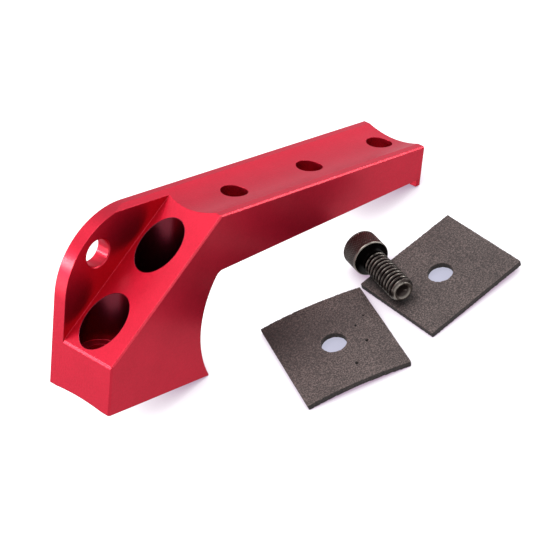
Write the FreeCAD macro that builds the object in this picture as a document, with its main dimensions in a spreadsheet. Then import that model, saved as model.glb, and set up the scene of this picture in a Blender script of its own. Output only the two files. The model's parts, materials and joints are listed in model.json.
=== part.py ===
import FreeCAD
import Part
import math
import os
import re

import Sketcher
from FreeCAD import Placement, Rotation, Vector

# Telescope tube bracket with its two rubber pads and its cap screw, as a parametric document.
#
# The bracket is one machined aluminium billet: a foot with a saddle under it, a long bar that
# reaches away from the foot, and a rounded side fin. It lies tipped forward on a table, on the
# inner edge of its foot and on the lip at the end of its bar. Two rubber pads and a socket head
# cap screw lie beside it, the screw with its shank on the corner of the right-hand pad.
#
# Lengths are in millimetres and angles in degrees. Every piece is modelled in its own level
# frame and then placed: the bracket has X along the bar, Y across it and Z up from the saddle,
# a pad has X and Y along its sides, and the screw has Z along its shank.

SIZES = {
    # bracket: outline seen from the side
    "bracket_length": 106.1,
    "bracket_height": 42.3,
    "bracket_width": 21.0,
    "foot_length": 32.9,
    "end_face_height": 12.5,
    "slope_run": 32.3,
    "fin_thickness": 4.2,
    "fin_corner_radius": 19.3,
    "bar_thickness_at_foot": 14.8,
    "bar_thickness_at_lip": 9.45,
    "lip_drop": 1.75,
    "lip_thickness": 1.0,
    "arch_radius": 24.8,
    "arch_centre_height": 13.5,
    "arch_fillet": 2.6,
    "edge_chamfer": 0.4,
    # bracket: the shallow seat along the top and the saddle under the foot
    "trough_depth": 1.4,
    "trough_rim": 2.2,
    "saddle_depth": 0.5,
    "saddle_rim": 2.6,
    # bracket: holes
    "foot_hole_radius": 3.3,
    "counterbore_radius": 5.6,
    "counterbore_seat_height": 10.7,
    "foot_hole_from_end": 6.5,
    "foot_hole_pitch": 16.3,
    "foot_hole_shift": 0.25,
    "bar_hole_radius": 3.4,
    "bar_hole_pitch": 26.7,
    "bar_hole_from_end": 5.5,
    "fin_hole_radius": 3.5,
    "fin_hole_chamfer": 0.25,
    "fin_hole_from_end": 9.6,
    "fin_hole_from_top": 9.9,
    # rubber pads
    "pad_long_side": 30.2,
    "pad_short_side": 26.5,
    "pad_thickness": 1.6,
    "pad_hole_radius": 3.15,
    "left_pad_bow": 0.9,
    "right_pad_rise": 1.4,
    "right_pad_skew": 0.7,
    # quarter inch cap screw, twenty threads to the inch
    "thread_diameter": 6.35,
    "thread_pitch": 1.27,
    "thread_runout": 1.6,
    "screw_length": 15.875,
    "head_diameter": 9.525,
    "head_height": 6.35,
    "head_top_chamfer": 0.6,
    "head_rim_chamfer": 0.25,
    "socket_across_flats": 4.7625,
    "socket_depth": 3.05,
    "tip_radius": 2.45,
    "tip_chamfer_length": 0.8,
    "cup_radius": 2.1,
    "cup_depth": 0.7,
    # where the pads and the screw lie, from the bracket's nearest contact corner
    "pads_meet_x": 41.4,
    "pads_meet_y": -12.6,
    "pads_gap_x": 1.15,
    "pads_gap_y": 0.5,
    "left_pad_angle": -25.1,
    "right_pad_angle": -7.0,
    "screw_inset": 5.3,
    "screw_overhang": 1.3,
    "screw_angle": -102.6,
    "screw_rest_clearance": 0.1,
}

CUT_MARGIN = 5.0      # how far a cutting sketch reaches past the metal it cuts
SAME_PLACE = 1e-4     # two points closer than this are one


def make_sizes_sheet(doc):
    sheet = doc.addObject("Spreadsheet::Sheet", "Sizes")
    for row, (name, size) in enumerate(SIZES.items(), start=1):
        sheet.set(f"A{row}", name)
        sheet.set(f"B{row}", str(size))
        sheet.setAlias(f"B{row}", name)
    doc.recompute()
    return sheet


def bound(text):
    """Turn an expression in size names into one that other objects of the document can read."""
    return re.sub(r"[a-z]\w*", lambda word: ("Sizes." if word[0] in SIZES else "") + word[0], text)


def value(sheet, text):
    return float(sheet.evalExpression(bound(text)))


def bind(target, name, text):
    target.setExpression(name, bound(text))


def origin_plane(body, role):
    return next(item for item in body.Origin.OriginFeatures if item.Role == role)


def add_sketch(body, name, role, offset="0"):
    """A sketch on one of the body's own origin planes, moved along that plane's normal."""
    sketch = body.newObject("Sketcher::SketchObject", name)
    sketch.AttachmentSupport = [(origin_plane(body, role), "")]
    sketch.MapMode = "FlatFace"
    bind(sketch, "AttachmentOffset.Base.z", offset)
    return sketch


def hold_point(sketch, geometry, end, x_text, y_text):
    for kind, text in (("DistanceX", x_text), ("DistanceY", y_text)):
        now = getattr(sketch.getPoint(geometry, end), "x" if kind == "DistanceX" else "y")
        index = sketch.addConstraint(Sketcher.Constraint(kind, -1, 1, geometry, end, now))
        bind(sketch, f"Constraints[{index}]", text)


def add_outline(sheet, sketch, corners):
    """Close a loop through the corners.

    A corner is (x, y) for a straight side to the next corner, or (x, y, radius, via_x, via_y)
    for an arc to the next corner that passes by the via point. All are size expressions.
    """
    def point(x_text, y_text):
        return Vector(value(sheet, x_text), value(sheet, y_text), 0)

    sides = []
    for corner, following in zip(corners, corners[1:] + corners[:1]):
        start, finish = point(*corner[:2]), point(*following[:2])
        if len(corner) == 2:
            side = sketch.addGeometry(Part.LineSegment(start, finish))
            sides.append((side, 1, 2))
            continue
        side = sketch.addGeometry(Part.Arc(start, point(*corner[3:]), finish))
        starts_here = sketch.getPoint(side, 1).distanceToPoint(start) < SAME_PLACE
        sides.append((side, 1, 2) if starts_here else (side, 2, 1))
    for (side, _, finish), (following, start, _) in zip(sides, sides[1:] + sides[:1]):
        sketch.addConstraint(Sketcher.Constraint("Coincident", side, finish, following, start))
    for corner, (side, start, _) in zip(corners, sides):
        hold_point(sketch, side, start, *corner[:2])
        if len(corner) > 2:
            now = value(sheet, corner[2])
            index = sketch.addConstraint(Sketcher.Constraint("Radius", side, now))
            bind(sketch, f"Constraints[{index}]", corner[2])


def add_circle(sheet, sketch, x_text, y_text, radius_text):
    centre = Vector(value(sheet, x_text), value(sheet, y_text), 0)
    circle = Part.Circle(centre, Vector(0, 0, 1), value(sheet, radius_text))
    side = sketch.addGeometry(circle)
    hold_point(sketch, side, 3, x_text, y_text)
    index = sketch.addConstraint(Sketcher.Constraint("Radius", side, value(sheet, radius_text)))
    bind(sketch, f"Constraints[{index}]", radius_text)


def pad_both_ways(body, sketch, name, length):
    pad = body.newObject("PartDesign::Pad", name)
    pad.Profile = sketch
    pad.Midplane = True
    bind(pad, "Length", length)
    return pad


def pocket(body, sketch, name, length, reverse=False):
    """Cut along the sketch's normal, backwards unless reversed, and check that metal went."""
    before = body.Tip.Shape.Volume
    cut = body.newObject("PartDesign::Pocket", name)
    cut.Profile = sketch
    cut.Reversed = reverse
    bind(cut, "Length", length)
    body.Document.recompute()
    if not cut.Shape.Volume < before:
        raise RuntimeError(f"{name} cuts nothing")
    return cut


# ------------------------------------------------------------------ bracket

UNDERSIDE_AT_LIP = "bracket_height - bar_thickness_at_lip"
ARCH_CENTRE_X = "foot_length + sqrt(arch_radius ^ 2 - arch_centre_height ^ 2)"
ARCH_TOP_Z = "bracket_height - bar_thickness_at_foot"
ARCH_TOP_X = f"{ARCH_CENTRE_X} - sqrt(arch_radius ^ 2 - ({ARCH_TOP_Z} - arch_centre_height) ^ 2)"
LIP_Z = f"{UNDERSIDE_AT_LIP} - lip_drop"
LIP_X = "bracket_length - lip_thickness"


def bracket_outline():
    """The billet from the side, with the fin's rounded corner, counter-clockwise in X and Z."""
    return [
        ("0", "0"),
        ("foot_length", "0", "arch_radius", f"{ARCH_CENTRE_X} - arch_radius", "arch_centre_height"),
        (ARCH_TOP_X, ARCH_TOP_Z),
        (LIP_X, UNDERSIDE_AT_LIP),
        (LIP_X, LIP_Z),
        ("bracket_length", LIP_Z),
        ("bracket_length", "bracket_height"),
        ("fin_corner_radius", "bracket_height", "fin_corner_radius",
         "fin_corner_radius * (1 - sqrt(2) / 2)",
         "bracket_height - fin_corner_radius * (1 - sqrt(2) / 2)"),
        ("0", "bracket_height - fin_corner_radius"),
    ]


def cut_slope(sheet, body):
    """Take the metal off above the slope, from the open side as far as the fin."""
    sketch = add_sketch(body, "slope_sketch", "XZ_Plane", "bracket_width / 2")
    slope = "(bracket_height - end_face_height) / slope_run"
    reach = str(CUT_MARGIN)
    corners = [
        (f"-{reach}", f"end_face_height - {reach} * {slope}"),
        (f"slope_run + {reach}", f"bracket_height + {reach} * {slope}"),
        (f"-{reach}", f"bracket_height + {reach} * {slope}"),
    ]
    add_outline(sheet, sketch, corners)
    pocket(body, sketch, "slope", "bracket_width - fin_thickness")


def cut_trough(sheet, body):
    """The shallow round-bottomed seat along the top, between two flat rims."""
    sketch = add_sketch(body, "trough_sketch", "YZ_Plane")
    half = "(bracket_width / 2 - trough_rim)"
    radius = f"({half} ^ 2 + trough_depth ^ 2) / (2 * trough_depth)"
    corners = [
        (f"-{half}", "bracket_height", radius, "0", "bracket_height - trough_depth"),
        (half, "bracket_height"),
        (half, f"bracket_height + {CUT_MARGIN}"),
        (f"-{half}", f"bracket_height + {CUT_MARGIN}"),
    ]
    add_outline(sheet, sketch, corners)
    pocket(body, sketch, "trough", "bracket_length", reverse=True)


def cut_saddle(sheet, body):
    """The hollow under the foot that sits on the round tube."""
    sketch = add_sketch(body, "saddle_sketch", "YZ_Plane")
    half = "(bracket_width / 2 - saddle_rim)"
    radius = f"({half} ^ 2 + saddle_depth ^ 2) / (2 * saddle_depth)"
    corners = [
        (half, "0", radius, "0", "saddle_depth"),
        (f"-{half}", "0"),
        (f"-{half}", f"-{CUT_MARGIN}"),
        (half, f"-{CUT_MARGIN}"),
    ]
    add_outline(sheet, sketch, corners)
    pocket(body, sketch, "saddle", "foot_length", reverse=True)


def cut_round_holes(sheet, body, name, places, radius, foot="0"):
    """Holes along Z with this radius, from the level named by foot upwards."""
    sketch = add_sketch(body, name + "_sketch", "XY_Plane", foot)
    for x_text, y_text in places:
        add_circle(sheet, sketch, x_text, y_text, radius)
    pocket(body, sketch, name, f"bracket_height + {CUT_MARGIN}", reverse=True)


def foot_hole_places():
    across = "-foot_hole_shift"
    return [("foot_hole_from_end", across), ("foot_hole_from_end + foot_hole_pitch", across)]


def bar_hole_places():
    last = "bracket_length - bar_hole_from_end"
    return [(f"{last} - {step} * bar_hole_pitch", "0") for step in range(3)]


def cut_fin_hole(sheet, body):
    sketch = add_sketch(body, "fin_hole_sketch", "XZ_Plane", "fin_thickness - bracket_width / 2")
    add_circle(sheet, sketch, "fin_hole_from_end", "bracket_height - fin_hole_from_top",
               "fin_hole_radius")
    pocket(body, sketch, "fin_hole", f"fin_thickness + {CUT_MARGIN}")


def edges_where(shape, wanted):
    return [f"Edge{number}" for number, edge in enumerate(shape.Edges, start=1) if wanted(edge)]


def lies_in(edge, axis, level):
    """Whether the whole edge lies in the plane where one coordinate has this level."""
    box = edge.BoundBox
    low, high = getattr(box, axis + "Min"), getattr(box, axis + "Max")
    return abs(low - level) < SAME_PLACE and abs(high - level) < SAME_PLACE


def round_arch_corner(sheet, body):
    """The small inside corner where the arch runs into the bar's underside."""
    x, z = value(sheet, ARCH_TOP_X), value(sheet, ARCH_TOP_Z)
    solid = body.Tip
    corner = edges_where(solid.Shape, lambda edge: lies_in(edge, "X", x) and lies_in(edge, "Z", z))
    fillet = body.newObject("PartDesign::Fillet", "arch_corner")
    fillet.Base = (solid, corner)
    bind(fillet, "Radius", "arch_fillet")
    body.Document.recompute()


def chamfer_edges(body, name, edges, size):
    solid = body.Tip
    chamfer = body.newObject("PartDesign::Chamfer", name)
    chamfer.Base = (solid, edges)
    bind(chamfer, "Size", size)
    body.Document.recompute()


def break_outer_edges(sheet, body):
    """Chamfer the outline of both sides, the slope's lower edge and the far end's edges."""
    half = value(sheet, "bracket_width / 2")
    far, low = value(sheet, "bracket_length"), value(sheet, "end_face_height")

    def outer(edge):
        side = lies_in(edge, "Y", half) or lies_in(edge, "Y", -half)
        sharp = edge.BoundBox.ZMax > SAME_PLACE and edge.BoundBox.XMin < far - SAME_PLACE
        ledge = lies_in(edge, "X", 0) and lies_in(edge, "Z", low)
        return (side and sharp and not is_round_hole(edge)) or ledge

    chamfer_edges(body, "edge_break", edges_where(body.Tip.Shape, outer), "edge_chamfer")


def is_round_hole(edge):
    return isinstance(edge.Curve, Part.Circle) and len(edge.Vertexes) == 1


def break_fin_hole(sheet, body):
    radius = value(sheet, "fin_hole_radius")

    def mouth(edge):
        return is_round_hole(edge) and abs(edge.Curve.Radius - radius) < SAME_PLACE \
            and abs(abs(edge.Curve.Axis.y) - 1) < SAME_PLACE

    chamfer_edges(body, "fin_hole_break", edges_where(body.Tip.Shape, mouth), "fin_hole_chamfer")


def make_bracket(doc, sheet):
    body = doc.addObject("PartDesign::Body", "bracket")
    sketch = add_sketch(body, "side_sketch", "XZ_Plane")
    add_outline(sheet, sketch, bracket_outline())
    pad_both_ways(body, sketch, "billet", "bracket_width")
    doc.recompute()
    round_arch_corner(sheet, body)
    cut_slope(sheet, body)
    cut_fin_hole(sheet, body)
    break_outer_edges(sheet, body)
    break_fin_hole(sheet, body)
    cut_trough(sheet, body)
    cut_saddle(sheet, body)
    cut_round_holes(sheet, body, "foot_holes", foot_hole_places(), "foot_hole_radius",
                    f"-{CUT_MARGIN}")
    cut_round_holes(sheet, body, "counterbores", foot_hole_places(), "counterbore_radius",
                    "counterbore_seat_height")
    cut_round_holes(sheet, body, "bar_holes", bar_hole_places(), "bar_hole_radius")
    return body


# ------------------------------------------------------------------ rubber pads

def left_pad_section():
    """A strip along X that lies on its two ends and bows up between them."""
    half, bow = "pad_short_side / 2", "left_pad_bow"
    radius = f"(({half}) ^ 2 + {bow} ^ 2) / (2 * {bow})"
    over = f"pad_thickness * ({half}) / ({radius})"
    up = f"pad_thickness * ({radius} - {bow}) / ({radius})"
    return [
        (f"-{half}", "0", radius, "0", bow),
        (half, "0"),
        (f"{half} + {over}", up, f"{radius} + pad_thickness", "0", f"{bow} + pad_thickness"),
        (f"-{half} - {over}", up),
    ]


def right_pad_section():
    """A strip along X that slopes up from its left side to its lifted right side."""
    half, rise = "pad_long_side / 2", "right_pad_rise"
    slant = f"sqrt(pad_long_side ^ 2 + {rise} ^ 2)"
    over = f"pad_thickness * {rise} / {slant}"
    up = f"pad_thickness * pad_long_side / {slant}"
    return [
        (f"-{half}", "0"),
        (half, rise),
        (f"{half} - {over}", f"{rise} + {up}"),
        (f"-{half} - {over}", up),
    ]


def make_pad(doc, sheet, name, section, depth, skew=None):
    """A bent strip of sheet rubber of this depth along Y, with a round hole punched in it.

    The skew is how far the far side has slid along X, where the strip was cut out of square.
    """
    body = doc.addObject("PartDesign::Body", name)
    sketch = add_sketch(body, name + "_section", "XZ_Plane")
    add_outline(sheet, sketch, section)
    strip = pad_both_ways(body, sketch, name + "_strip", depth)
    if skew:
        strip.UseCustomVector = True
        strip.AlongSketchNormal = True
        bind(strip, "Direction.x", f"{skew} / ({depth})")
        strip.Direction = Vector(value(sheet, f"{skew} / ({depth})"), 1, 0)
    doc.recompute()
    hole = add_sketch(body, name + "_hole_sketch", "XY_Plane", f"-{CUT_MARGIN}")
    add_circle(sheet, hole, "0", "0", "pad_hole_radius")
    pocket(body, hole, name + "_hole", f"{4 * CUT_MARGIN}", reverse=True)
    return body


# ------------------------------------------------------------------ cap screw

def screw_section():
    """Half of the screw beside its axis: Z is 0 under the head and grows towards the tip."""
    head, shank = "head_diameter / 2", "thread_diameter / 2"
    cup = "(cup_radius ^ 2 + cup_depth ^ 2) / (2 * cup_depth)"
    return [
        ("0", "-head_height"),
        (f"{head} - head_top_chamfer", "-head_height"),
        (head, "head_top_chamfer - head_height"),
        (head, "-head_rim_chamfer"),
        (f"{head} - head_rim_chamfer", "0"),
        (shank, "0"),
        (shank, "screw_length - tip_chamfer_length"),
        ("tip_radius", "screw_length"),
        ("cup_radius", "screw_length", cup, "cup_radius / 2",
         f"screw_length - cup_depth + ({cup}) - sqrt(({cup}) ^ 2 - (cup_radius / 2) ^ 2)"),
        ("0", "screw_length - cup_depth"),
    ]


def cut_thread(sheet, body):
    """A sixty degree vee, with flats of an eighth of the pitch, that winds off the tip."""
    sketch = add_sketch(body, "thread_sketch", "XZ_Plane")
    shank, deep = "thread_diameter / 2", "thread_pitch * 3 * sqrt(3) / 8"
    proud, root = "thread_pitch / 16", "thread_pitch / 16"
    mouth = "(thread_pitch * 7 / 16 + thread_pitch / 16 / sqrt(3))"
    corners = [
        (f"{shank} - {deep}", f"thread_runout - {root}"),
        (f"{shank} + {proud}", f"thread_runout - {mouth}"),
        (f"{shank} + {proud}", f"thread_runout + {mouth}"),
        (f"{shank} - {deep}", f"thread_runout + {root}"),
    ]
    add_outline(sheet, sketch, corners)
    before = body.Tip.Shape.Volume
    thread = body.newObject("PartDesign::SubtractiveHelix", "thread")
    thread.Profile = sketch
    thread.ReferenceAxis = (sketch, ["V_Axis"])
    thread.Mode = 0
    bind(thread, "Pitch", "thread_pitch")
    bind(thread, "Height", "screw_length - thread_runout + thread_pitch")
    body.Document.recompute()
    if not thread.Shape.Volume < before:
        raise RuntimeError("the thread cuts nothing")


def make_screw(doc, sheet):
    body = doc.addObject("PartDesign::Body", "cap_screw")
    sketch = add_sketch(body, "screw_sketch", "XZ_Plane")
    add_outline(sheet, sketch, screw_section())
    turned = body.newObject("PartDesign::Revolution", "turned_blank")
    turned.Profile = sketch
    turned.ReferenceAxis = (sketch, ["V_Axis"])
    turned.Angle = 360
    doc.recompute()
    hexagon = add_sketch(body, "socket_sketch", "XY_Plane", "-head_height")
    flat, point = "socket_across_flats / 2", "socket_across_flats / sqrt(3)"
    corners = [
        (point, "0"), (f"{point} / 2", flat), (f"-{point} / 2", flat),
        (f"-{point}", "0"), (f"-{point} / 2", f"-{flat}"), (f"{point} / 2", f"-{flat}"),
    ]
    add_outline(sheet, hexagon, corners)
    pocket(body, hexagon, "hex_socket", "socket_depth", reverse=True)
    cut_thread(sheet, body)
    return body


# ------------------------------------------------------------------ where the pieces lie

def turned_about_z(angle):
    return Rotation(Vector(0, 0, 1), angle)


def bracket_placement(sheet):
    """Tip the bracket until its foot's inner edge and its lip both touch the table."""
    rise = value(sheet, LIP_Z)
    run = value(sheet, "bracket_length - foot_length")
    turn = Rotation(Vector(0, 1, 0), math.degrees(math.atan2(rise, run)))
    contact = Vector(value(sheet, "foot_length"), value(sheet, "-bracket_width / 2"), 0)
    return Placement(turn.multVec(contact).negative(), turn)


def left_pad_placement(sheet):
    """The left pad's back corner is where the two pads meet."""
    meet = Vector(value(sheet, "pads_meet_x"), value(sheet, "pads_meet_y"), 0)
    turn = turned_about_z(value(sheet, "left_pad_angle"))
    corner = Vector(value(sheet, "pad_short_side / 2"), value(sheet, "pad_long_side / 2"), 0)
    return Placement(meet - turn.multVec(corner), turn)


def right_pad_placement(sheet):
    """The right pad's back corner lies a small gap beyond the left pad's."""
    corner_x = "right_pad_skew / 2 - pad_long_side / 2"
    corner = Vector(value(sheet, corner_x), value(sheet, "pad_short_side / 2"), 0)
    turn = turned_about_z(value(sheet, "right_pad_angle"))
    there = Vector(value(sheet, "pads_meet_x + pads_gap_x"),
                   value(sheet, "pads_meet_y + pads_gap_y"), 0)
    return Placement(there - turn.multVec(corner), turn)


def screw_tilt(sheet):
    """How far the shank rises when the head lies on the table and the shank on the pad."""
    drop = value(sheet, "head_diameter / 2 - thread_diameter / 2")
    reach = value(sheet, "head_height - head_top_chamfer + screw_overhang")
    slope_here = "right_pad_rise * screw_inset / pad_long_side"
    height = value(sheet, f"pad_thickness + {slope_here} + screw_rest_clearance")
    return math.asin(height / math.hypot(drop, reach)) - math.atan2(drop, reach)


def screw_placement(sheet, pad_placement):
    """Lay the screw with its shank across the right pad's back edge and its head on the table."""
    tilt = screw_tilt(sheet)
    heading = math.radians(value(sheet, "right_pad_angle + screw_angle"))
    along = Vector(math.cos(heading) * math.cos(tilt), math.sin(heading) * math.cos(tilt),
                   math.sin(tilt))
    edge_x = "right_pad_skew / 2 - pad_long_side / 2 + screw_inset"
    crossing = Vector(value(sheet, edge_x), value(sheet, "pad_short_side / 2"), 0)
    under_head = pad_placement.multVec(crossing) - along * value(sheet, "screw_overhang")
    radius = value(sheet, "head_diameter / 2")
    back = value(sheet, "head_height - head_top_chamfer")
    under_head.z = radius * math.cos(tilt) + back * math.sin(tilt)
    return Placement(under_head, Rotation(Vector(0, 0, 1), along))


def centre_on_floor(bodies):
    """Slide all the pieces together so that the origin is in the middle of their outline."""
    boxes = [body.Shape.optimalBoundingBox() for body in bodies]
    middle_x = (min(box.XMin for box in boxes) + max(box.XMax for box in boxes)) / 2
    middle_y = (min(box.YMin for box in boxes) + max(box.YMax for box in boxes)) / 2
    for body in bodies:
        placement = body.Placement
        placement.Base = placement.Base - Vector(middle_x, middle_y, 0)
        body.Placement = placement


def check_and_export(doc, bodies):
    for item in doc.Objects:
        if "Invalid" in item.State or "Error" in item.State:
            raise RuntimeError(f"{item.Name} did not compute: {item.State}")
    for body in bodies:
        if body.Shape.isNull() or not body.Shape.isValid() or len(body.Shape.Solids) != 1:
            raise RuntimeError(f"{body.Label} is not one good solid")
    os.makedirs("parts", exist_ok=True)
    for body in bodies:
        body.Shape.exportStep(f"parts/{body.Label}.step")
        box = body.Shape.optimalBoundingBox()
        print(body.Label, round(body.Shape.Volume, 1),
              [round(edge, 3) for edge in (box.XMin, box.YMin, box.ZMin, box.XMax, box.YMax, box.ZMax)])


def main():
    doc = FreeCAD.newDocument("tube_bracket")
    sheet = make_sizes_sheet(doc)
    bracket = make_bracket(doc, sheet)
    left_pad = make_pad(doc, sheet, "left_rubber_pad", left_pad_section(), "pad_long_side")
    right_pad = make_pad(doc, sheet, "right_rubber_pad", right_pad_section(), "pad_short_side",
                         "right_pad_skew")
    screw = make_screw(doc, sheet)
    bracket.Placement = bracket_placement(sheet)
    left_pad.Placement = left_pad_placement(sheet)
    right_pad.Placement = right_pad_placement(sheet)
    screw.Placement = screw_placement(sheet, right_pad.Placement)
    bodies = [bracket, left_pad, right_pad, screw]
    doc.recompute()
    centre_on_floor(bodies)
    doc.recompute()
    check_and_export(doc, bodies)


main()
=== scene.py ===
import json
import math

import bmesh
import bpy
from mathutils import Matrix, Vector, noise


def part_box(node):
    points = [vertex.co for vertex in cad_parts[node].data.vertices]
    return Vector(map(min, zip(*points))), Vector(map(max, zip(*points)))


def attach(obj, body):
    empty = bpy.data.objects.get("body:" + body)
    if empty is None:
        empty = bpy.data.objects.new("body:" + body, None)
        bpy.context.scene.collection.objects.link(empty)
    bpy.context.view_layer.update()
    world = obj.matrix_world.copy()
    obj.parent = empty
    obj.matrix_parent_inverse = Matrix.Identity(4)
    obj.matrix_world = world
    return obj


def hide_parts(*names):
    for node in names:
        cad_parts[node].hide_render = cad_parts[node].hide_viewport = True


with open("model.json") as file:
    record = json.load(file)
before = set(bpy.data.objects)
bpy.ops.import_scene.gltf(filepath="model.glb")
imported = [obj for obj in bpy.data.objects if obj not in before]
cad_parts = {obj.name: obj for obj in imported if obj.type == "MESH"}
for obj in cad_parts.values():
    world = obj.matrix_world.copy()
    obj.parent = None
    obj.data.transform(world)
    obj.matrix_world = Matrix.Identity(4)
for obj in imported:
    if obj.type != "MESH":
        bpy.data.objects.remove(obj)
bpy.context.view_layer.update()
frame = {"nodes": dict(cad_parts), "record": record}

mm = 0.001
scene = bpy.context.scene
scene.view_settings.view_transform = "Standard"


def hexColour(code):
    # sRGB hex to linear light
    parts = [int(code[i:i + 2], 16) / 255 for i in (1, 3, 5)]
    return [p / 12.92 if p <= 0.04045 else ((p + 0.055) / 1.055) ** 2.4 for p in parts] + [1.0]


def perMetre(size):
    # a pattern's scale from its real grain in millimetres
    return 1 / (size * mm)


def addNode(tree, kind, settings=None, inputs=None):
    made = tree.nodes.new(kind)
    for name, value in (settings or {}).items():
        setattr(made, name, value)
    for name, value in (inputs or {}).items():
        if isinstance(value, bpy.types.NodeSocket):
            tree.links.new(value, made.inputs[name])
        else:
            made.inputs[name].default_value = value
    return made


def newMaterial(name):
    material = bpy.data.materials.new(name)
    material.use_nodes = True
    material.node_tree.nodes.clear()
    return material, material.node_tree


def paint(target, material):
    target.data.materials.clear()
    target.data.materials.append(material)


def mountPlace(name):
    mount = next(m for m in frame["record"]["mounts"] if m["name"] == name)
    return Vector(mount["pos_m"]), Vector(mount["axis"])


def nearMounts(tree, place, names, radius, above):
    # 1 within a radius of a named mount's axis and past a mark along it, both in mm, and else 0
    mask = 0.0
    for name in names:
        middle, axis = mountPlace(name)
        reach = addNode(tree, "ShaderNodeVectorMath", {"operation": "SUBTRACT"},
                        {0: place, 1: middle})
        along = addNode(tree, "ShaderNodeVectorMath", {"operation": "DOT_PRODUCT"},
                        {0: reach.outputs["Vector"], 1: axis})
        across = addNode(tree, "ShaderNodeVectorMath", {"operation": "CROSS_PRODUCT"},
                         {0: reach.outputs["Vector"], 1: axis})
        away = addNode(tree, "ShaderNodeVectorMath", {"operation": "LENGTH"},
                       {0: across.outputs["Vector"]})
        inside = addNode(tree, "ShaderNodeMath", {"operation": "LESS_THAN"},
                         {0: away.outputs["Value"], 1: radius * mm})
        past = addNode(tree, "ShaderNodeMath", {"operation": "GREATER_THAN"},
                       {0: along.outputs["Value"], 1: above * mm})
        both = addNode(tree, "ShaderNodeMath", {"operation": "MULTIPLY"},
                       {0: inside.outputs[0], 1: past.outputs[0]})
        mask = addNode(tree, "ShaderNodeMath", {"operation": "MAXIMUM"},
                       {0: both.outputs[0], 1: mask}).outputs[0]
    return mask


def mergedCopy(nodeName):
    # a node's mesh is loose triangles, so its corners are joined first
    form = bmesh.new()
    form.from_mesh(frame["nodes"][nodeName].data)
    bmesh.ops.remove_doubles(form, verts=form.verts, dist=0.001 * mm)
    return form


def addPiece(form, name, sharpAngle=30):
    mesh = bpy.data.meshes.new(name)
    form.to_mesh(mesh)
    form.free()
    mesh.shade_smooth()
    mesh.set_sharp_from_angle(angle=math.radians(sharpAngle))
    piece = bpy.data.objects.new(name, mesh)
    scene.collection.objects.link(piece)
    return piece


cameraPlan = {
    "aimFromBracket": (55.7, 0.7, 15.0),  # mm from the lowest corner of the bracket's box
    "azimuth": -37.32,
    "elevation": 41.51,
    "roll": 14.56,
    "distance": 499.0,
    "lens": 139.2,
}


def makeCamera(plan):
    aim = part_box("bracket")[0] + Vector(plan["aimFromBracket"]) * mm
    turn, rise = math.radians(plan["azimuth"]), math.radians(plan["elevation"])
    level = math.cos(rise)
    back = Vector((math.sin(turn) * level, -math.cos(turn) * level, math.sin(rise)))
    camera = bpy.data.objects.new("camera", bpy.data.cameras.new("camera"))
    camera.data.lens = plan["lens"]
    camera.data.clip_start = 0.01
    roll = Matrix.Rotation(-math.radians(plan["roll"]), 4, "Z")
    camera.matrix_world = (Matrix.Translation(aim + back * plan["distance"] * mm)
                           @ back.to_track_quat("Z", "Y").to_matrix().to_4x4() @ roll)
    scene.collection.objects.link(camera)
    scene.camera = camera


makeCamera(cameraPlan)
print("camera made")


# white sweep and soft boxes

studio = {
    "floorSize": 3.0,                       # m
    "room": "#ffffff",
    "worldStrength": 0.48,                  # the light that the room gives
    "whiteSeen": 1.0,                       # how bright the room looks
    "card": "#f0e8ea",
    "cardLit": (1.4, 1.4, 1.43, 1.0),       # how bright the lit card looks, past paper white
    "cardShade": (0.52, 0.38, 0.51, 1.0),   # close under the object
    "holeShade": (0.58, 0.58, 0.72, 1.0),   # inside the holes of the pads
    "shadeReach": 9.0,                      # mm
    "shadeFrom": 0.2,                       # how open the deepest shade still is
    "shadeTo": 0.93,
    "holeReach": 4.2,                       # mm
    "cardGlow": 1.0,
    "cardGlowShare": 0.85,                  # the rest of what the eye sees is really lit
    "cardEvenness": 0.7,                    # the same share, as seen in metal
    "lamps": {
        # name: direction from the object, distance, width and height in m, brightness seen
        "overhead": ((-0.10, 0.22, 0.97), 0.9, 0.6, 0.5, 5.0),
        "key": ((0.74, -0.10, 0.66), 0.9, 0.2, 0.2, 15.0),
        "leftBack": ((-0.60, 0.63, 0.49), 0.9, 0.11, 0.11, 60.0),
        "leftLow": ((-0.76, 0.63, 0.10), 0.9, 0.6, 0.34, 3.1),
        "rightBack": ((0.88, 0.36, 0.31), 0.9, 0.36, 0.24, 0.4),
        "rightFront": ((0.88, -0.38, 0.30), 0.9, 0.16, 0.16, 13.0),
        "front": ((-0.05, -0.76, 0.64), 0.9, 0.16, 0.16, 4.5),
        "greyCard": ((0.71, 0.68, 0.14), 0.2, 0.5, 0.07, 0.2),
    },
}


def mirrorRays(tree):
    # 1 for a ray reflected in metal or passed by glass, which should see the plain white room
    path = addNode(tree, "ShaderNodeLightPath")
    return addNode(tree, "ShaderNodeMath", {"operation": "MAXIMUM"},
                   {0: path.outputs["Is Glossy Ray"],
                    1: path.outputs["Is Transmission Ray"]}).outputs[0]


def eyeRays(tree):
    return addNode(tree, "ShaderNodeLightPath").outputs["Is Camera Ray"]


def makeWorld(plan):
    world = bpy.data.worlds.new("paleRoom")
    scene.world = world
    world.use_nodes = True
    tree = world.node_tree
    tree.nodes.clear()
    seen = addNode(tree, "ShaderNodeMath", {"operation": "MAXIMUM"},
                   {0: mirrorRays(tree), 1: eyeRays(tree)})
    strength = addNode(tree, "ShaderNodeMapRange", None,
                       {"Value": seen.outputs[0], "To Min": plan["worldStrength"],
                        "To Max": plan["whiteSeen"]})
    shade = addNode(tree, "ShaderNodeBackground", None,
                    {"Color": hexColour(plan["room"]), "Strength": strength.outputs["Result"]})
    addNode(tree, "ShaderNodeOutputWorld", None, {"Surface": shade.outputs["Background"]})


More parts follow.
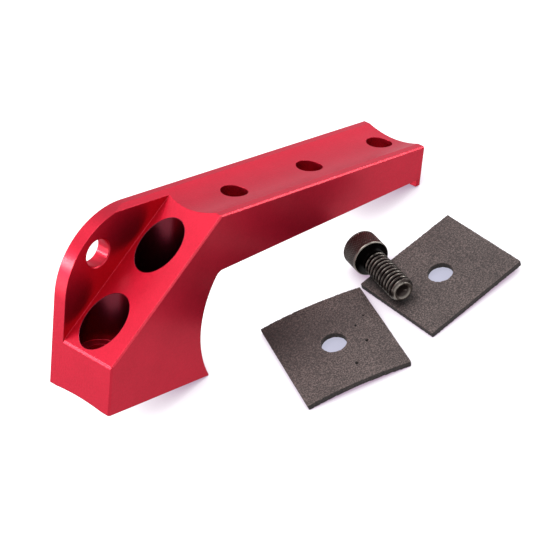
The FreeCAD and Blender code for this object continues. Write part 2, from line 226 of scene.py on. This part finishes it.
def makeFloor(plan):
    form = bmesh.new()
    bmesh.ops.create_grid(form, x_segments=1, y_segments=1, size=plan["floorSize"] / 2)
    floor = bpy.data.objects.new("floor", bpy.data.meshes.new("floor"))
    form.to_mesh(floor.data)
    form.free()
    scene.collection.objects.link(floor)
    # white card, paper white to the eye and in the metal, where it keeps only its deeper shadows
    material, tree = newMaterial("whiteCard")
    card = addNode(tree, "ShaderNodeBsdfDiffuse", None, {"Color": hexColour(plan["card"])})
    near = addNode(tree, "ShaderNodeAmbientOcclusion", {"samples": 24},
                   {"Distance": plan["shadeReach"] * mm})
    openness = addNode(tree, "ShaderNodeMapRange", None,
                       {"Value": near.outputs["AO"], "From Min": plan["shadeFrom"],
                        "From Max": plan["shadeTo"]})
    lit = addNode(tree, "ShaderNodeMix", {"data_type": "RGBA"},
                  {"Factor": openness.outputs["Result"], "A": plan["cardShade"],
                   "B": plan["cardLit"]})
    place = addNode(tree, "ShaderNodeTexCoord").outputs["Object"]
    inHole = nearMounts(tree, place, ("left_pad_hole", "right_pad_hole"), plan["holeReach"], -10)
    # the shade goes when the pad is lifted off
    covered = addNode(tree, "ShaderNodeMapRange", None,
                      {"Value": near.outputs["AO"], "From Min": 0.98, "From Max": 0.87,
                       "To Max": inHole})
    lit = addNode(tree, "ShaderNodeMix", {"data_type": "RGBA"},
                  {"Factor": covered.outputs["Result"], "A": lit.outputs["Result"],
                   "B": plan["holeShade"]})
    bright = addNode(tree, "ShaderNodeBsdfDiffuse", None, {"Color": lit.outputs["Result"]})
    glow = addNode(tree, "ShaderNodeEmission", None,
                   {"Color": lit.outputs["Result"], "Strength": plan["cardGlow"]})
    toEye = addNode(tree, "ShaderNodeMixShader", None,
                    {0: plan["cardGlowShare"], 1: bright.outputs[0], 2: glow.outputs[0]})
    plain = addNode(tree, "ShaderNodeEmission", None, {"Color": hexColour(plan["room"])})
    inMetal = addNode(tree, "ShaderNodeMixShader", None,
                      {0: plan["cardEvenness"], 1: card.outputs[0], 2: plain.outputs[0]})
    seen = addNode(tree, "ShaderNodeMixShader", None,
                   {0: eyeRays(tree), 1: card.outputs[0], 2: toEye.outputs[0]})
    mix = addNode(tree, "ShaderNodeMixShader", None,
                  {0: mirrorRays(tree), 1: seen.outputs[0], 2: inMetal.outputs[0]})
    addNode(tree, "ShaderNodeOutputMaterial", None, {"Surface": mix.outputs[0]})
    paint(floor, material)


def makeLamps(plan):
    for name, (way, distance, width, height, seen) in plan["lamps"].items():
        light = bpy.data.lights.new(name, "AREA")
        light.shape = "RECTANGLE"
        light.size, light.size_y = width, height
        light.energy = seen * math.pi * width * height
        lamp = bpy.data.objects.new(name, light)
        lamp.location = Vector(way).normalized() * distance
        lamp.rotation_euler = Vector(way).to_track_quat("Z", "Y").to_euler()
        lamp.visible_camera = False
        scene.collection.objects.link(lamp)


makeWorld(studio)
makeFloor(studio)
makeLamps(studio)
print("studio made")


# bracket: its solid is kept as it is and painted

bracketLook = {
    "red": "#cc1c38",
    "deepRed": "#a60f26",
    "grazingTint": (0.8, 0.5, 0.58, 1.0),   # seen nearly edge on, the dye still shows
    "wellShadeRed": "#6c1026",    # the screw wells, cut glossy, with painted shade deep in them
    "wellRadius": 5.7,       # mm
    "wellFrom": 5.2,         # mm above the middle of the bolt hole
    "blastGrain": 0.45,      # mm between the beads' dimples, drawn a little coarse to show
    "blotch": 7.0,           # mm across a patch where the dye took a little more
    "dimpleDepth": 0.05,     # mm
    "edgeRadius": 0.22,      # mm
    "roughness": 0.42,
    "wellRoughness": 0.3,
    "skin": 0.29,            # the clear sealed film
    "skinRoughness": 0.25,
    "skinIor": 1.6,          # aluminium oxide's, in a porous film
}


def anodisedAluminium(look):
    # bead-blasted, dyed red and sealed: satin metal, deep in colour, under a thin clear skin
    material, tree = newMaterial("anodisedAluminium")
    place = addNode(tree, "ShaderNodeTexCoord").outputs["Object"]
    blotch = addNode(tree, "ShaderNodeTexNoise", None,
                     {"Vector": place, "Scale": perMetre(look["blotch"]), "Detail": 3.0})
    grain = addNode(tree, "ShaderNodeTexNoise", None,
                    {"Vector": place, "Scale": perMetre(look["blastGrain"]), "Detail": 2.0})
    taken = addNode(tree, "ShaderNodeMix", {"data_type": "FLOAT"},
                    {"Factor": 0.6, "A": blotch.outputs["Fac"], "B": grain.outputs["Fac"]})
    body = addNode(tree, "ShaderNodeMix", {"data_type": "RGBA"},
                   {"Factor": taken.outputs["Result"], "A": hexColour(look["deepRed"]),
                    "B": hexColour(look["red"])})
    # painted shade: above their seats the screw wells take a darker red
    inWell = nearMounts(tree, place, ("foot_hole_1", "foot_hole_2"),
                        look["wellRadius"], look["wellFrom"])
    dyedAndWellShade = addNode(tree, "ShaderNodeMix", {"data_type": "RGBA"},
                   {"Factor": inWell, "A": body.outputs["Result"], "B": hexColour(look["wellShadeRed"])})
    turned = addNode(tree, "ShaderNodeMapRange", None,
                     {"Value": inWell, "To Min": look["roughness"],
                      "To Max": look["wellRoughness"]})
    soft = addNode(tree, "ShaderNodeBevel", {"samples": 6}, {"Radius": look["edgeRadius"] * mm})
    dimples = addNode(tree, "ShaderNodeBump", None,
                      {"Strength": 0.6, "Distance": look["dimpleDepth"] * mm,
                       "Height": grain.outputs["Fac"], "Normal": soft.outputs["Normal"]})
    shader = addNode(tree, "ShaderNodeBsdfPrincipled", None,
                     {"Base Color": dyedAndWellShade.outputs["Result"], "Metallic": 1.0,
                      "Roughness": turned.outputs["Result"], "Specular Tint": look["grazingTint"],
                      "Coat Weight": look["skin"], "Coat Roughness": look["skinRoughness"],
                      "Coat IOR": look["skinIor"],
                      "Normal": dimples.outputs["Normal"], "Coat Normal": soft.outputs["Normal"]})
    addNode(tree, "ShaderNodeOutputMaterial", None, {"Surface": shader.outputs["BSDF"]})
    return material


paint(frame["nodes"]["bracket"], anodisedAluminium(bracketLook))
print("bracket painted")


# rubber pads: the punched sheet's form is kept, and its faces get their pebbles and pits

padLook = {
    "voxel": 0.17,          # mm, fine enough for the pebbles
    "pebble": 0.55,         # mm across
    "pebbleHeight": 0.09,   # mm
    "ripple": 6.0,          # mm between the slow swells of the sheet
    "rippleHeight": 0.05,   # mm
    "leftTurn": -25.1,      # degrees, of the left pad's sides
    # left pad's pits: mm from the hole along its sides, and radius in mm
    "leftPits": ((7.2, -3.4, 0.45), (2.0, -9.2, 0.5), (6.9, 2.7, 0.34), (9.9, 5.0, 0.34)),
    "pitDepth": 0.9,        # mm
    "padShadeMiddle": (-6, 12, 0), # mm from the left hole, the middle of a patch of painted shade towards the bracket
    "padShadeReach": 19.0,   # mm
    "dark": "#0a0809",
    "pale": "#847370",
    # brown for the worn chalk patches, and also for the painted shade near the bracket
    "brown": "#3c2a2a",
    "fleck": 0.36,          # mm, chalk and bloom caught on the pebbles
    "chalkPatch": 14.0,     # mm across a patch where the chalk is worn
    "creviceShadeReach": 3.0,    # mm, the reach of the painted shade beside other parts and in the holes
    "roughness": 0.75,
}


def sheetRubber(look):
    # calendered black rubber gone chalky in storage: dull, pale on its pebbles, dark between them
    material, tree = newMaterial("sheetRubber")
    place = addNode(tree, "ShaderNodeTexCoord").outputs["Object"]
    height = addNode(tree, "ShaderNodeNewGeometry").outputs["Pointiness"]
    proud = addNode(tree, "ShaderNodeMapRange", None,
                    {"Value": height, "From Min": 0.44, "From Max": 0.56})
    fleck = addNode(tree, "ShaderNodeTexNoise", None,
                    {"Vector": place, "Scale": perMetre(look["fleck"]), "Detail": 3.0,
                     "Roughness": 0.7})
    spread = addNode(tree, "ShaderNodeMapRange", None,
                     {"Value": fleck.outputs["Fac"], "From Min": 0.45, "From Max": 0.64})
    chalk = addNode(tree, "ShaderNodeMix", {"data_type": "FLOAT"},
                    {"Factor": 0.65, "A": proud.outputs["Result"], "B": spread.outputs["Result"]})
    # painted shade: less chalk, so darker rubber, close to other parts and in the holes
    creviceShade = addNode(tree, "ShaderNodeAmbientOcclusion", {"samples": 8},
                      {"Distance": look["creviceShadeReach"] * mm})
    unshaded = addNode(tree, "ShaderNodeMapRange", None,
                      {"Value": creviceShade.outputs["AO"], "From Min": 0.35, "From Max": 0.85})
    # chalk keeps to the rolled faces; the cut sides stay black
    facing = addNode(tree, "ShaderNodeSeparateXYZ", None,
                     {0: addNode(tree, "ShaderNodeTexCoord").outputs["Normal"]})
    rolled = addNode(tree, "ShaderNodeMapRange", None,
                     {"Value": addNode(tree, "ShaderNodeMath", {"operation": "ABSOLUTE"},
                                       {0: facing.outputs["Z"]}).outputs[0],
                      "From Min": 0.3, "From Max": 0.75, "To Min": 0.3})
    lainUnshaded = addNode(tree, "ShaderNodeMath", {"operation": "MULTIPLY"},
                   {0: rolled.outputs["Result"], 1: unshaded.outputs["Result"]})
    amount = addNode(tree, "ShaderNodeMath", {"operation": "MULTIPLY"},
                     {0: chalk.outputs["Result"], 1: lainUnshaded.outputs[0]})
    patch = addNode(tree, "ShaderNodeTexNoise", None,
                    {"Vector": place, "Scale": perMetre(look["chalkPatch"]), "Detail": 2.0})
    # painted shade: the left pad goes darker and browner towards the bracket
    fromShadeMiddle = addNode(tree, "ShaderNodeVectorMath", {"operation": "DISTANCE"},
                   {0: place, 1: mountPlace("left_pad_hole")[0] + Vector(look["padShadeMiddle"]) * mm})
    patchiness = addNode(tree, "ShaderNodeMapRange", {"interpolation_type": "SMOOTHSTEP"},
                     {"Value": fromShadeMiddle.outputs["Value"], "From Min": 0.0,
                      "From Max": look["padShadeReach"] * mm, "To Min": 0.7, "To Max": 0.0})
    worn = addNode(tree, "ShaderNodeMapRange", None,
                   {"Value": patch.outputs["Fac"], "From Min": 0.42, "From Max": 0.66,
                    "To Max": 0.3})
    brownByWearAndShade = addNode(tree, "ShaderNodeMath", {"operation": "ADD", "use_clamp": True},
                   {0: patchiness.outputs["Result"], 1: worn.outputs["Result"]})
    pale = addNode(tree, "ShaderNodeMix", {"data_type": "RGBA"},
                   {"Factor": brownByWearAndShade.outputs[0], "A": hexColour(look["pale"]),
                    "B": hexColour(look["brown"])})
    colour = addNode(tree, "ShaderNodeMix", {"data_type": "RGBA"},
                     {"Factor": amount.outputs[0], "A": hexColour(look["dark"]),
                      "B": pale.outputs["Result"]})
    shader = addNode(tree, "ShaderNodeBsdfPrincipled", None,
                     {"Base Color": colour.outputs["Result"], "Roughness": look["roughness"]})
    addNode(tree, "ShaderNodeOutputMaterial", None, {"Surface": shader.outputs["BSDF"]})
    return material


def makePad(name, nodeName, holeName, body, pits, rubber, look):
    pad = addPiece(mergedCopy(nodeName), name)
    remesh = pad.modifiers.new("remesh", "REMESH")
    remesh.mode, remesh.voxel_size = "VOXEL", look["voxel"] * mm
    eased = pad.modifiers.new("eased", "SMOOTH")
    eased.factor, eased.iterations = 0.5, 3
    bpy.context.view_layer.update()
    fine = bpy.data.meshes.new_from_object(pad.evaluated_get(bpy.context.evaluated_depsgraph_get()))
    pad.modifiers.clear()
    pad.data = fine
    fine.shade_smooth()
    normals = [vertex.normal.copy() for vertex in fine.vertices]
    hole = mountPlace(holeName)[0]
    turn = Matrix.Rotation(math.radians(look["leftTurn"]), 4, "Z")
    dents = [(hole + turn @ (Vector((x, y, 0)) * mm), radius) for x, y, radius in pits]
    for vertex, normal in zip(fine.vertices, normals):
        place = vertex.co / mm
        rise = look["pebbleHeight"] * (noise.noise(place / look["pebble"])
                                       + 0.6 * noise.noise(place * 2.1 / look["pebble"]))
        rise += look["rippleHeight"] * noise.noise(place / look["ripple"])
        for dent, radius in dents:
            near = (vertex.co - dent).to_2d().length / (radius * mm)
            if near < 1 and normal.z > 0.5:
                rise -= look["pitDepth"] * (1 - near ** 2)
        # the knife cut the sides much smoother
        vertex.co += normal * rise * (0.25 + 0.75 * abs(normal.z)) * mm
        vertex.co.z = max(vertex.co.z, 0)
    paint(pad, rubber)
    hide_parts(nodeName)
    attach(pad, body)


rubber = sheetRubber(padLook)
makePad("leftPad", "left_rubber_pad", "left_pad_hole", "left_pad", padLook["leftPits"],
        rubber, padLook)
makePad("rightPad", "right_rubber_pad", "right_pad_hole", "right_pad", (), rubber, padLook)
print("pads made")


# cap screw: the turned head's plain wall gives way to a rolled diamond knurl

screwLook = {
    # heights are mm below the head's top, along the screw
    "headHeight": 6.35,
    "knurlFrom": 0.8,
    "knurlTo": 5.7,
    "knurlTeeth": 60,       # round the head
    "knurlLead": 0.62,      # mm along the head from tooth to tooth
    "knurlDepth": 0.13,     # mm
    "steps": 360,           # faces round the head, six to a tooth
    "rows": 48,
    "black": "#413a38",
    # painted shade for the neck, under the head and between the threads
    "shadeBlack": "#040303",
    # pale steel: real wear on the crests, and painted highlights on the head's rim and the point
    "worn": "#c4bcb2",
    "roughness": 0.28,
    "creviceShadeReach": 2.5,    # mm, the reach of the painted shade under the head and between the threads
    "rimFrom": 5.95,        # where the painted highlight on the head's lower rim starts
    "rimHighlight": 0.3,
    "neckFrom": 6.33,       # where the painted shade of the neck starts
    "neckTo": 7.6,
    "neckFade": 9.8,
    "tipFrom": 21.85,       # where the painted highlight on the point starts
    "tipHighlight": 0.35,
}


def blackOxideSteel(look):
    # steel blackened in hot salts: near black with a brownish cast, rubbed pale along its crests
    material, tree = newMaterial("blackOxideSteel")
    place = addNode(tree, "ShaderNodeTexCoord").outputs["Object"]
    crest = addNode(tree, "ShaderNodeMapRange", None,
                    {"Value": addNode(tree, "ShaderNodeNewGeometry").outputs["Pointiness"],
                     "From Min": 0.53, "From Max": 0.68})
    patchiness = addNode(tree, "ShaderNodeTexNoise", None,
                     {"Vector": place, "Scale": perMetre(1.5), "Detail": 3.0})
    scuffed = addNode(tree, "ShaderNodeMapRange", None,
                      {"Value": patchiness.outputs["Fac"], "From Min": 0.35, "From Max": 0.6})
    wear = addNode(tree, "ShaderNodeMath", {"operation": "MULTIPLY", "use_clamp": True},
                   {0: crest.outputs["Result"], 1: scuffed.outputs["Result"]})
    # painted shade: darker where other parts and threads close round it
    creviceShade = addNode(tree, "ShaderNodeAmbientOcclusion", {"samples": 8},
                      {"Distance": look["creviceShadeReach"] * mm})
    unshaded = addNode(tree, "ShaderNodeMapRange", None,
                      {"Value": creviceShade.outputs["AO"], "From Min": 0.55, "From Max": 1.0})
    # painted shade darkens the neck, and painted highlights pale the head's lower rim and the point
    top, outward = mountPlace("screw_socket")
    along = addNode(tree, "ShaderNodeVectorMath", {"operation": "DOT_PRODUCT"},
                    {0: addNode(tree, "ShaderNodeVectorMath", {"operation": "SUBTRACT"},
                                {0: top, 1: place}).outputs["Vector"], 1: outward}).outputs["Value"]
    pastRim = addNode(tree, "ShaderNodeMath", {"operation": "GREATER_THAN"},
                      {0: along, 1: look["neckFrom"] * mm})
    neckShade = addNode(tree, "ShaderNodeMapRange", None,
                    {"Value": along, "From Min": look["neckTo"] * mm,
                     "From Max": look["neckFade"] * mm,
                     "To Min": pastRim.outputs[0], "To Max": 0.0})
    onRim = addNode(tree, "ShaderNodeMapRange", None,
                    {"Value": along, "From Min": look["rimFrom"] * mm,
                     "From Max": (look["rimFrom"] + 0.1) * mm, "To Max": look["rimHighlight"]})
    rim = addNode(tree, "ShaderNodeMath", {"operation": "SUBTRACT", "use_clamp": True},
                  {0: onRim.outputs["Result"], 1: pastRim.outputs[0]})
    tip = addNode(tree, "ShaderNodeMapRange", None,
                  {"Value": along, "From Min": look["tipFrom"] * mm,
                   "From Max": (look["tipFrom"] + 0.3) * mm, "To Max": look["tipHighlight"]})
    ends = addNode(tree, "ShaderNodeMath", {"operation": "MAXIMUM"},
                   {0: tip.outputs["Result"], 1: rim.outputs[0]})
    # real wear on the crests; painted highlights on the rim and the point
    worn = addNode(tree, "ShaderNodeMath", {"operation": "MAXIMUM"},
                   {0: wear.outputs[0], 1: ends.outputs[0]})
    # the black oxide shows where no painted shade is laid
    clear = addNode(tree, "ShaderNodeMath", {"operation": "SUBTRACT", "use_clamp": True},
                    {0: unshaded.outputs["Result"], 1: neckShade.outputs["Result"]})
    oxideAndShade = addNode(tree, "ShaderNodeMix", {"data_type": "RGBA"},
                    {"Factor": clear.outputs[0], "A": hexColour(look["shadeBlack"]),
                     "B": hexColour(look["black"])})
    colour = addNode(tree, "ShaderNodeMix", {"data_type": "RGBA"},
                     {"Factor": worn.outputs[0], "A": oxideAndShade.outputs["Result"],
                      "B": hexColour(look["worn"])})
    shader = addNode(tree, "ShaderNodeBsdfPrincipled", None,
                     {"Base Color": colour.outputs["Result"], "Metallic": 1.0,
                      "Roughness": look["roughness"]})
    addNode(tree, "ShaderNodeOutputMaterial", None, {"Surface": shader.outputs["BSDF"]})
    return material


def knurlRise(turn, along, look):
    # two families of slanting grooves cross and leave diamonds standing
    around = turn / math.tau * look["knurlTeeth"]
    down = along / look["knurlLead"]
    ways = [abs((around + side * down) % 1 - 0.5) * 2 for side in (-0.5, 0.5)]
    ends = min(1, (along - look["knurlFrom"]) / 0.15, (look["knurlTo"] - along) / 0.15)
    return -look["knurlDepth"] * max(0, 1 - min(ways) * 1.4) * max(0, ends)


def makeScrew(look):
    top, outward = mountPlace("screw_socket")
    local = Matrix.Translation(top) @ (-outward).to_track_quat("Z", "Y").to_matrix().to_4x4()
    form = mergedCopy("cap_screw")
    form.transform(Matrix.Scale(1 / mm, 4) @ local.inverted())
    # the plain wall is cut away, a finer one is spun in its place, and the gaps are bridged
    radius = max(v.co.to_2d().length for v in form.verts)
    wall = [f for f in form.faces if all(v.co.to_2d().length > radius - 0.02 for v in f.verts)]
    bmesh.ops.delete(form, geom=wall, context="FACES")
    cutRims = [e for e in form.edges if e.is_boundary]
    middle = look["headHeight"] / 2
    upper = [e for e in cutRims if e.verts[0].co.z < middle]
    lower = [e for e in cutRims if e.verts[0].co.z >= middle]
    step = (look["knurlTo"] - look["knurlFrom"]) / look["rows"]
    line = [form.verts.new((radius, 0, look["knurlFrom"] + step * row))
            for row in range(look["rows"] + 1)]
    edges = [form.edges.new(pair) for pair in zip(line, line[1:])]
    before = set(form.verts) - set(line)
    bmesh.ops.spin(form, geom=line + edges, cent=(0, 0, 0), axis=(0, 0, 1), angle=math.tau,
                   steps=look["steps"], use_merge=True)
    band = [v for v in form.verts if v not in before]
    rims = [e for e in form.edges if e.is_boundary and e not in cutRims]
    for vert in band:
        turn = math.atan2(vert.co.y, vert.co.x)
        grow = 1 + knurlRise(turn, vert.co.z, look) / radius
        vert.co.x, vert.co.y = vert.co.x * grow, vert.co.y * grow
    bmesh.ops.bridge_loops(form, edges=upper + [e for e in rims if e.verts[0].co.z < middle])
    bmesh.ops.bridge_loops(form, edges=lower + [e for e in rims if e.verts[0].co.z >= middle])
    bmesh.ops.recalc_face_normals(form, faces=form.faces)
    form.transform(local @ Matrix.Scale(mm, 4))
    screw = addPiece(form, "knurledScrew", 40)
    paint(screw, blackOxideSteel(look))
    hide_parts("cap_screw")
    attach(screw, "screw")


makeScrew(screwLook)
print("screw made")
